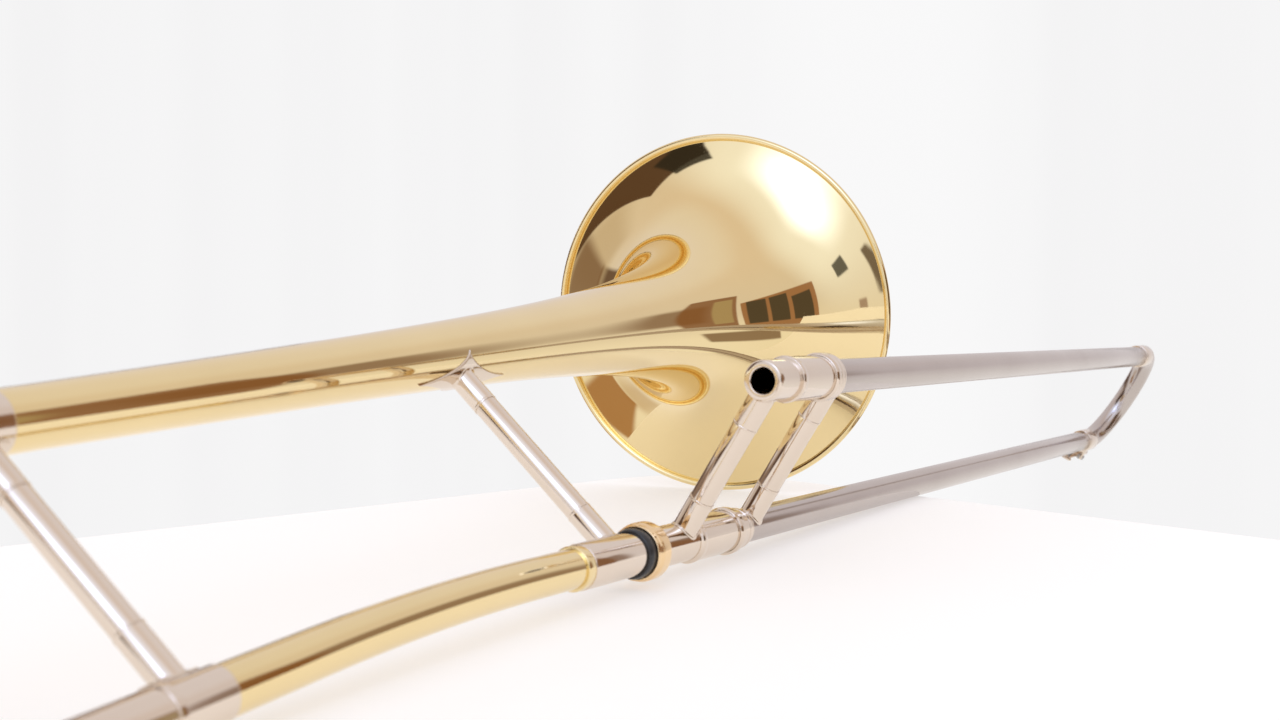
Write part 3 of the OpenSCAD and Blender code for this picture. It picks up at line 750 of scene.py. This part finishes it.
def front_brace():
    brace_r = 5.1
    low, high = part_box("front_brace")
    x = (low.x + high.x) / 2 / MM
    bell_in_plane = PLANE.inverted() @ BELL
    rim = Vector((bell_in_plane[0][3], bell_in_plane[1][3])) / MM
    tilt = math.atan2(bell_in_plane[1][0], bell_in_plane[0][0])
    length = rim.y + (x - rim.x) * math.tan(tilt)
    reach, flange_reach, depth = 25.5, 31.0, 9.5
    brace_between("front_brace_tube", "front_brace", PLANE, x,
                  reach - depth, length - flange_reach + depth, brace_r)
    socket_r = measure("cushion_ring")[2]
    piece("front_brace_saddle", saddle_foot(socket_r, brace_r, reach, 6.5), shifted(PLANE, x),
          "front_brace_foot")
    back = rim.x - x

    def stem(along, across):
        """Height of the stem's skin above its own axis, looking along the brace."""
        y = np.full(np.shape(along), 14.0)
        for _ in range(6):
            station = along * math.cos(tilt) - y * math.sin(tilt)
            skin = flare(back / math.cos(tilt) - station) + 0.03
            y = (np.sqrt(np.maximum(skin ** 2 - across ** 2, 0.01)) - along * math.sin(tilt)) / math.cos(tilt)
        return y

    long, wide, hollow = 32.0, 11.6, 0.74

    def diamond(angle):
        along, across = abs(math.cos(angle)) / long, abs(math.sin(angle)) / wide
        return (along ** hollow + across ** hollow) ** (-1 / hollow)

    even = np.arange(144) * 2 * math.pi / 144
    angles = even - 0.215 * np.sin(4 * even)
    flange = foot(stem, diamond, brace_r + 0.2, brace_r + 0.02, flange_reach, 1.2, 0.8, angles)
    base = turned(shifted(PLANE, x, length), 180, "X")
    piece("front_brace_diamond", flange, base, "front_brace_flange")


slide_braces()
rear_brace()
front_brace()


# Tuning slide

def tuning_slide():
    width = -NECK_Y
    legs = []
    for base, y in ((BELL, 0), (NECK, NECK_Y)):
        start, end, bore, radius = measure("tuning_legs", base)
        legs.append(placed(revolve(tube(start, end, radius, bore)), shifted(Matrix(), y=y)))
    piece("tuning_leg_tubes", joined(*legs), BELL, "tuning_legs")
    collars = []
    for base, y in ((BELL, 0), (NECK, NECK_Y)):
        start, end, bore, radius = measure("tuning_ferrules", base)
        collar = grooved(start, end, radius, bore, 0.7, (start + 2, end - 2))
        collars.append(placed(revolve(collar), shifted(Matrix(), y=y)))
    piece("tuning_collars", joined(*collars), BELL, "tuning_ferrules")
    rear = measure("tuning_ferrules", BELL)[0]
    small, large = (measure("tuning_ferrules", base)[2] + 0.48 for base in (NECK, BELL))
    angles = np.linspace(0, math.pi, 73)
    half = width / 2
    path = [(rear - half * math.sin(a), -half - half * math.cos(a)) for a in angles]
    radii = small + (large - small) * angles / math.pi
    piece("tuning_bow_tube", sweep(path, radii, radii - 0.6), BELL, "tuning_bow")


tuning_slide()


def tuning_brace():
    """The tuning slide's brace: a turned rod that swells into the ferrules at both ends."""
    reach = local_points("tuning_brace", BELL)
    x, length = (reach[:, 0].min() + reach[:, 0].max()) / 2, -NECK_Y
    near = measure("tuning_ferrules", NECK)[3] - 0.4
    far = length - measure("tuning_ferrules", BELL)[3] + 0.4
    rod, foot_r = 3.2, 4.3
    middle = length / 2
    outline = [(near, 0.0, 0), (near, foot_r + 1.2, 0), (near + 1.6, foot_r, 1.4), (near + 5, foot_r, 0.5),
               (near + 5.6, rod, 0.5), (middle - 2.2, rod, 0.4), (middle - 1.2, rod + 0.9, 0.8),
               (middle + 1.2, rod + 0.9, 0.8), (middle + 2.2, rod, 0.4), (far - 5.6, rod, 0.5),
               (far - 5, foot_r, 0.5), (far - 1.6, foot_r, 1.4), (far, foot_r + 1.2, 0), (far, 0.0, 0)]
    piece("tuning_brace_rod", solid_of(outline), turned(shifted(NECK, x), 90, "Z"), "tuning_brace")


tuning_brace()


# Water key and bumper

def nipple_frame():
    """The nipple's own frame: it starts on the bow's axis, and X runs out along the nipple."""
    half = SLIDE_WIDTH / 2
    centre = np.array([frame_x("end_bow")[0], half])
    points = local_points("water_key_nipple", SLIDE)[:, :2]
    out = points.mean(0) - centre
    angle = math.degrees(math.atan2(out[1], out[0]))
    return shifted(turned(shifted(SLIDE, centre[0], centre[1]), angle, "Z"), half)


def water_key():
    pivot = SLIDE.inverted() @ Vector(JOINTS["water_key_lift"]["pos_m"]) / MM
    tube_r = measure("lower_outer_tube")[3]
    at_nipple = nipple_frame()
    from_pivot = shifted(SLIDE, pivot.x, pivot.y)
    to_nipple = from_pivot.inverted() @ at_nipple
    top = measure("water_key_nipple", at_nipple)[1]
    nipple = [(tube_r - 0.9, 1.6, 0), (tube_r - 0.9, 3.6, 0), (tube_r + 0.35, 3.4, 0.3),
              (tube_r + 0.6, 2.75, 0.5), (top - 0.5, 2.6, 0.1), (top, 2.5, 0.25), (top, 1.6, 0.2)]
    piece("nipple_turned", revolve(rounded(nipple), 48), at_nipple, "water_key_nipple")
    start, end = measure("water_key_cork", at_nipple)[:2]
    pad = [(start, 0, 0), (start, 3.4, 0.4), (end - 0.2, 3.45, 0.2), (end - 0.2, 0, 0)]
    piece("cork_pad", solid_of(pad), at_nipple, "water_key_cork")

    cup_near = start + 1.0
    cup = [(cup_near, 3.52, 0.1), (cup_near, 4.2, 0.3), (cup_near + 1.6, 4.1, 0.8),
           (cup_near + 3.0, 2.2, 1.2), (cup_near + 3.4, 0, 0), (end, 0, 0), (end, 3.52, 0)]
    cup = placed(solid_of(cup), to_nipple)
    arm_half, thick, touch_back = 2.0, 1.4, 30.0
    arm_y = -1.8
    outline = (arc(-touch_back, 0, 4.6, 30, 330, 25) + [(-22, -arm_half - 0.3), (-6, -arm_half)]
               + [(4, -arm_half), (19, -arm_half - 0.4)] + arc(20, 0, arm_half + 0.4, -80, 80, 9)
               + [(19, arm_half + 0.4), (4, arm_half), (-6, arm_half), (-22, arm_half + 0.3)])
    blade = lying(plate(outline, 0, thick, 0.45), "X", 90)
    blade = at(blade, y=arm_y + thick)
    dome = [(-0.05, 0, 0), (-0.05, 4.1, 0), (0.35, 3.7, 0.6), (0.75, 0, 0)]
    dome = at(lying(solid_of(dome), "Z", -90), x=-touch_back, y=arm_y)
    hub_half = 4.7
    hub = [(-hub_half, 1.05, 0.1), (-hub_half, 2.0, 0.3), (-arm_half - 0.3, 2.0, 0.2), (-arm_half, 2.3, 0.3),
           (arm_half, 2.3, 0.3), (arm_half + 0.3, 2.0, 0.2), (hub_half, 2.0, 0.3), (hub_half, 1.05, 0.1)]
    hub = lying(revolve(rounded(hub), 40), "Y", 90)
    piece("key_lever", joined(blade, dome, hub, cup), from_pivot, "water_key_lever")

    coil_r, wire_r, first, pitch, turns = 2.42, 0.3, 2.6, 0.66, 2.75
    springs = []
    for side in (-1, 1):
        angles = np.linspace(0, turns * 2 * math.pi, 70)
        coil = [(coil_r * math.cos(a + 2.2), coil_r * math.sin(a + 2.2),
                 side * (first + pitch * a / (2 * math.pi))) for a in angles]
        springs.append(wire(coil, wire_r))
    piece("key_spring", joined(*springs), from_pivot, "water_key_spring")

    ferrule_r = measure("bow_ferrules")[3]
    post, gap = 1.3, 0.2
    inner = hub_half + gap
    rise = -pivot.y - math.sqrt((ferrule_r + 0.3) ** 2 - (inner + post) ** 2)
    lug = arc(0, 0, 2.2, 180, 360, 17) + [(2.6, rise - 1.4), (3.8, rise), (-3.8, rise), (-2.6, rise - 1.4)]
    lugs = [plate(lug, z, z + post, 0.25) for z in (-inner - post, inner)]
    half_angle = math.degrees(math.asin((inner + post) / (ferrule_r + 0.8)))
    skin = (arc(0, 0, ferrule_r + 0.8, -90 - half_angle, -90 + half_angle, 19)
            + arc(0, 0, ferrule_r + 0.02, -90 + half_angle, -90 - half_angle, 19))
    saddle_plate = at(placed(plate(skin, -6, 6, 0.2), Matrix.Rotation(math.pi / 2, 4, "Y")), y=-pivot.y)
    piece("key_bracket", joined(saddle_plate, *lugs), from_pivot, "water_key_bracket")
    end = inner + post
    screw = [(-end - 0.1, 0, 0), (-end - 0.1, 0.95, 0.2), (end, 0.95, 0), (end, 2.0, 0.15),
             (end + 0.7, 2.0, 0.4), (end + 1.15, 1.2, 0.4), (end + 1.2, 0, 0)]
    piece("key_screw", lying(solid_of(screw, 32), "Y", -90), from_pivot, "water_key_screw")


def bumper():
    middle = shifted(SLIDE, y=SLIDE_WIDTH / 2)
    start, end, bore, radius = measure("bumper_cup", middle)
    seat = measure("bumper", middle)[0]
    bow_top = frame_x("end_bow")[1]
    cup = [(bow_top - 1.0, 0, 0), (bow_top - 1.0, radius - 0.3, 0), (bow_top + 0.6, radius - 0.6, 0.8),
           (end - 0.9, radius - 0.2, 0.4), (end - 0.5, radius, 0.4), (end, radius, 0.3), (end, 3.12, 0.1),
           (seat - 0.02, 3.12, 0), (seat - 0.02, 0, 0)]
    piece("bumper_holder", solid_of(cup), middle, "bumper_cup")
    start, end, bore, radius = measure("bumper", middle)
    tip = [(start, 0, 0), (start, radius - 0.02, 0.2), (end - 2.2, radius - 0.02, 0.5),
           (end - 0.7, radius - 0.7, 1.0), (end, 1.2, 0.8), (end, 0, 0)]
    piece("bumper_tip", solid_of(tip), middle, "bumper")


water_key()
bumper()


# CAD nodes that stay get their material and smooth shading.

def finish_node(name, shown):
    slot = SLOT_OF[name]
    shown.data.materials.clear()
    shown.data.materials.append(finish(slot, "object"))
    for polygon in shown.data.polygons:
        polygon.use_smooth = True


for node_name, node_object in frame["nodes"].items():
    if not node_object.hide_render:
        finish_node(node_name, node_object)


# Stage: a pale table top, a bright room round it, and the camera

# The table's back corner and a point on each of its back edges, in metres
TABLE_BACK_LEFT = (-0.007, 0.300)
TABLE_CORNER = (0.396, 0.175)
TABLE_BACK_RIGHT = (0.2906, -0.159)
CORNER_CUT = 0.09
SLIDE_RESTS_AT = 0.325


def support_plane():
    """(height at the origin, slope along X, slope along Y) of the plane the instrument lies on."""
    rim = min(local_points("bell", Matrix()), key=lambda p: p[2]) * MM
    bow = min(local_points("tuning_bow", Matrix()), key=lambda p: p[2]) * MM
    radius = measure("lower_outer_tube")[3] * MM
    rest = np.array([SLIDE_RESTS_AT, 0.0, -radius])
    rows = np.array([[1, p[0], p[1]] for p in (rim, bow, rest)])
    return np.linalg.solve(rows, np.array([rim[2], bow[2], rest[2]]))


def table_material():
    """White laminate. Its own faint light stands for the bounced light of a bright white room."""
    material, tree, shader, place = new_material("white_table", "object")
    clouds = noise(tree, place, 3, 3)
    tint = mixed(tree, clouds, colour(0.55, 0.54, 0.535), colour(0.57, 0.56, 0.555))
    tree.links.new(tint, shader.inputs["Base Color"])
    shader.inputs["Roughness"].default_value = 0.6
    shader.inputs["Specular IOR Level"].default_value = 0.15
    shader.inputs["Emission Color"].default_value = colour(1.0, 0.965, 0.955)
    shader.inputs["Emission Strength"].default_value = 0.47
    return material


def table():
    level, slope_x, slope_y = support_plane()
    level -= 0.0002
    reach = 1.6
    corner = Vector(TABLE_CORNER)
    left = (Vector(TABLE_BACK_LEFT) - corner).normalized()
    right = (Vector(TABLE_BACK_RIGHT) - corner).normalized()
    far_left = corner + left * 1.25
    far_right = corner + right * reach
    near = far_left + far_right - corner
    turn = [corner + (right * (1 - t) ** 2 + left * t ** 2) * CORNER_CUT for t in np.linspace(0, 1, 9)]
    outline = turn + [far_left, near, far_right]
    thick = 0.03
    top = [(p.x, p.y, level + slope_x * p.x + slope_y * p.y) for p in outline]
    work = bmesh.new()
    upper = [work.verts.new(p) for p in top]
    lower = [work.verts.new((x, y, z - thick)) for x, y, z in top]
    work.faces.new(upper)
    work.faces.new(lower[::-1])
    for i in range(len(upper)):
        j = (i + 1) % len(upper)
        work.faces.new((upper[i], lower[i], lower[j], upper[j]))
    bmesh.ops.recalc_face_normals(work, faces=work.faces)
    over = set(upper)
    rim = [edge for edge in work.edges if (edge.verts[0] in over) == (edge.verts[1] in over)]
    bmesh.ops.bevel(work, geom=rim, offset=0.002, segments=3, affect="EDGES")
    mesh = bpy.data.meshes.new("table")
    work.to_mesh(mesh)
    work.free()
    slab = bpy.data.objects.new("table", mesh)
    bpy.context.scene.collection.objects.link(slab)
    mesh.materials.append(table_material())


def card_group():
    """A node group that gives 1 inside a soft-edged card seen in a direction, and 0 outside."""
    group = bpy.data.node_groups.new("soft_card", "ShaderNodeTree")
    face = group.interface
    face.new_socket("Direction", in_out="INPUT", socket_type="NodeSocketVector")
    for name in ("Azimuth", "Elevation", "Half width", "Half height", "Softness"):
        face.new_socket(name, in_out="INPUT", socket_type="NodeSocketFloat")
    face.new_socket("Mask", in_out="OUTPUT", socket_type="NodeSocketFloat")
    given = group.nodes.new("NodeGroupInput").outputs
    turn = math_node(group, "MULTIPLY", given["Azimuth"], -1)
    level = add(group, "ShaderNodeVectorRotate", {"Vector": given["Direction"], "Angle": turn},
                rotation_type="Z_AXIS")
    facing = add(group, "ShaderNodeVectorRotate",
                 {"Vector": level.outputs[0], "Angle": given["Elevation"]}, rotation_type="Y_AXIS")
    parts = add(group, "ShaderNodeSeparateXYZ", {0: facing.outputs[0]}).outputs
    ahead = math_node(group, "MAXIMUM", parts[0], 0.01)
    mask = math_node(group, "GREATER_THAN", parts[0], 0.01)
    for axis, half in ((1, "Half width"), (2, "Half height")):
        away = math_node(group, "ABSOLUTE", math_node(group, "DIVIDE", parts[axis], ahead))
        low = math_node(group, "SUBTRACT", given[half], given["Softness"])
        high = math_node(group, "ADD", given[half], given["Softness"])
        fade = add(group, "ShaderNodeMapRange", {"Value": away, 1: low, 2: high, 3: 1.0, 4: 0.0},
                   interpolation_type="SMOOTHSTEP").outputs[0]
        mask = math_node(group, "MULTIPLY", mask, fade)
    output = group.nodes.new("NodeGroupOutput")
    group.links.new(mask, output.inputs["Mask"])
    return group


# Soft cards round the instrument: azimuth, elevation, half width, half height in degrees,
# softness, colour and how much of the card shows
CARDS = (
    (30, 55, 40, 25, 0.3, (0.86, 0.83, 0.87), 0.8),
    (-163, 37, 42, 33, 0.5, (1.05, 1.12, 1.32), 0.95),
    (-165, 35, 15, 9, 0.2, (2.3, 2.8, 4.2), 1.0),
    (70, 5, 27, 8, 0.02, (0.14, 0.08, 0.05), 0.95),
    (106, 14, 16, 13, 0.12, (0.60, 0.50, 0.42), 0.7),
    (108, 4, 14, 8, 0.04, (0.22, 0.13, 0.08), 0.85),
    (78, -32, 12, 9, 0.1, (0.62, 0.47, 0.33), 0.7),
    (-36.5, 9, 5.5, 9, 0.04, (0.22, 0.12, 0.06), 0.8),
    (137, 19, 15, 18, 0.01, (0.10, 0.05, 0.025), 0.97),
    (146, 34, 7, 5, 0.01, (0.035, 0.03, 0.025), 0.95),
    (108, -27, 15, 8, 0.02, (0.42, 0.20, 0.055), 0.9),
    (-45, 8, 9, 16, 0.01, (0.26, 0.12, 0.05), 0.9),
    (-48, 9, 4, 12, 0.01, (0.45, 0.36, 0.22), 0.9),
    (-88, 4, 31, 14, 0.01, (0.34, 0.15, 0.05), 0.9),
    (-67, 5, 7, 11, 0.01, (0.05, 0.055, 0.045), 0.85),
    (-85, 5, 8, 11, 0.01, (0.05, 0.055, 0.045), 0.85),
    (-106, 3, 9, 9, 0.01, (0.05, 0.055, 0.045), 0.85),
    (-60, -18, 22, 5, 0.02, (0.20, 0.11, 0.05), 0.85),
    (-143, 12, 4, 3, 0.01, (0.06, 0.06, 0.055), 0.9),
    (-158, 4, 1.5, 6, 0.01, (0.12, 0.08, 0.05), 0.9),
    (-149, -6, 2, 4, 0.01, (0.25, 0.12, 0.08), 0.7),
)


def card(tree, group, direction, azimuth, elevation, half_width, half_height, soft):
    """The mask of one card, placed and sized in degrees."""
    made = add(tree, "ShaderNodeGroup", node_tree=group)
    tree.links.new(direction, made.inputs["Direction"])
    made.inputs["Azimuth"].default_value = math.radians(azimuth)
    made.inputs["Elevation"].default_value = math.radians(elevation)
    made.inputs["Half width"].default_value = math.tan(math.radians(half_width))
    made.inputs["Half height"].default_value = math.tan(math.radians(half_height))
    made.inputs["Softness"].default_value = soft
    return made.outputs[0]


# The stretch of curtain that the window lights: azimuth, elevation, half width, half height, softness
BRIGHT_FOLD = (21.0, 5.0, 4.5, 60.0, 0.05)


def room():
    world = bpy.data.worlds.new("bright_room")
    bpy.context.scene.world = world
    world.use_nodes = True
    tree = world.node_tree
    tree.nodes.clear()
    direction = tree.nodes.new("ShaderNodeTexCoord").outputs["Generated"]
    height = add(tree, "ShaderNodeSeparateXYZ", {0: direction}).outputs[2]
    wall = mixed(tree, ranged(tree, height, 0, 1, -0.3, 0.1), colour(0.97, 0.94, 0.92),
                 colour(0.78, 0.73, 0.74))
    seen = mixed(tree, ranged(tree, height, 0, 1, 0.2, 0.8), wall, colour(0.82, 0.73, 0.70))
    group = card_group()
    for *place, tint, share in CARDS:
        factor = math_node(tree, "MULTIPLY", card(tree, group, direction, *place), share)
        seen = mixed(tree, factor, seen, colour(*tint))
    # The curtain's folds are painted light and shade: faint lighter and darker stripes round the backdrop.
    turn = add(tree, "ShaderNodeSeparateXYZ", {0: direction}).outputs
    angle = math_node(tree, "ARCTAN2", turn[1], turn[0])
    fold_shade = add(tree, "ShaderNodeTexNoise", {"W": angle, "Scale": 14.0, "Detail": 2.0}, noise_dimensions="1D")
    curtain = mixed(tree, ranged(tree, fold_shade.outputs[0], 0, 1), colour(0.90, 0.895, 0.90),
                    colour(0.925, 0.922, 0.925))
    bright = card(tree, group, direction, *BRIGHT_FOLD)
    curtain = mixed(tree, bright, curtain, colour(0.945, 0.942, 0.945))
    rays = tree.nodes.new("ShaderNodeLightPath").outputs
    shade = mixed(tree, rays["Is Diffuse Ray"], seen, colour(*SOFT_LIGHT))
    shown = mixed(tree, rays["Is Camera Ray"], shade, curtain)
    background = add(tree, "ShaderNodeBackground", {"Color": shown, "Strength": 1.0})
    output = tree.nodes.new("ShaderNodeOutputWorld")
    tree.links.new(background.outputs[0], output.inputs[0])


CAMERA_AT = (-0.52682, -0.30836, 0.09184)
CAMERA_AZIMUTH = 29.93
CAMERA_PITCH = -1.234
CAMERA_ROLL = 0.303
LENS = 42.70
F_STOP = 16.0
SOFT_LIGHT = (1.04, 1.01, 1.0)


def camera():
    data = bpy.data.cameras.new("camera")
    data.lens = LENS
    data.sensor_width = 36.0
    data.clip_start = 0.01
    data.clip_end = 100.0
    focus = bpy.data.objects.new("focus", None)
    focus.location = bell_mouth * 0.7
    bpy.context.scene.collection.objects.link(focus)
    data.dof.use_dof = True
    data.dof.focus_object = focus
    data.dof.aperture_fstop = F_STOP
    view = bpy.data.objects.new("camera", data)
    bpy.context.scene.collection.objects.link(view)
    heading = Matrix.Rotation(math.radians(CAMERA_AZIMUTH - 90), 4, "Z")
    pitch = Matrix.Rotation(math.radians(90 + CAMERA_PITCH), 4, "X")
    roll = Matrix.Rotation(math.radians(CAMERA_ROLL), 4, "Z")
    view.matrix_world = Matrix.Translation(CAMERA_AT) @ heading @ pitch @ roll
    bpy.context.scene.camera = view


table()
room()
camera()
bpy.context.scene.view_settings.view_transform = "Standard"
bpy.context.scene.cycles.glossy_bounces = 10
